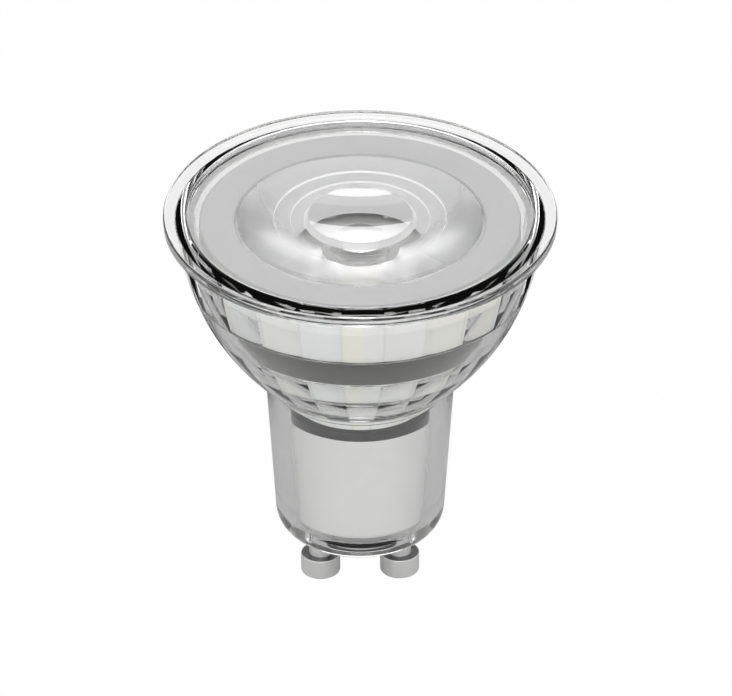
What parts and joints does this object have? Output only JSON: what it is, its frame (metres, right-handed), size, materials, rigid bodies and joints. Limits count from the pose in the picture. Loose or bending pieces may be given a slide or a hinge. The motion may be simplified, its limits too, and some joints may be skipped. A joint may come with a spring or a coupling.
{
  "type": "led spotlight bulb",
  "caption": "Reflector-shaped LED spotlight lamp with a faceted clear glass body, a ringed lens flush in its rim and a twist-lock cap with headed contact pins.",
  "frame": {"origin": "on the optical axis, level with the ends of the contact pins", "axes": "+Z along the optical axis, from the pins towards the lens; X runs through both contact pins; a flat facet of the bowl faces -Y"},
  "size_m": [0.05, 0.05, 0.0532],
  "materials": {
    "clear_glass": "clear pressed glass, polished",
    "lens_clear": "clear moulded optic, polished",
    "adhesive_clear": "milky silicone",
    "holder_white": "pale grey, moulded",
    "sink_grey": "satin, dark grey",
    "pad_grey": "soft, grey",
    "board_white": "white solder mask on a metal core",
    "package_white": "white",
    "phosphor_cream": "pale cream",
    "screw_steel": "zinc plated",
    "pin_metal": "nickel plated, satin",
    "housing_white": "pale grey, satin",
    "cap_grey": "dark grey, moulded",
    "driver_green": "green solder mask",
    "can_black": "black sleeve",
    "ferrite_grey": "dark ferrite",
    "mould_black": "black moulding",
    "fuse_tan": "lacquered",
    "film_yellow": "yellow case",
    "wire_white": "white insulation",
    "wire_red": "red insulation",
    "wire_black": "black insulation",
    "solder": "solder"
  },
  "bodies": {
    "root": {"glass_envelope": "clear_glass", "front_lens": "lens_clear", "lens_adhesive": "adhesive_clear", "lens_holder": "holder_white", "heat_sink": "sink_grey", "thermal_pad": "pad_grey", "led_board": "board_white", "led_package": "package_white", "led_phosphor": "phosphor_cream", "board_screws": "screw_steel", "contact_pin_left": "pin_metal", "contact_pin_right": "pin_metal", "pin_washer_left": "screw_steel", "pin_washer_right": "screw_steel", "driver_housing": "housing_white", "housing_cap": "cap_grey", "driver_funnel": "housing_white", "driver_board": "driver_green", "bulk_capacitor": "can_black", "choke": "ferrite_grey", "bridge_rectifier": "mould_black", "driver_chip": "mould_black", "fuse_resistor": "fuse_tan", "film_capacitor": "film_yellow", "chip_parts": "fuse_tan", "mains_wire_left": "wire_white", "mains_wire_right": "wire_white", "led_wire_negative": "wire_black", "led_wire_positive": "wire_red", "solder_joints": "solder"}
  },
  "joints": []
}
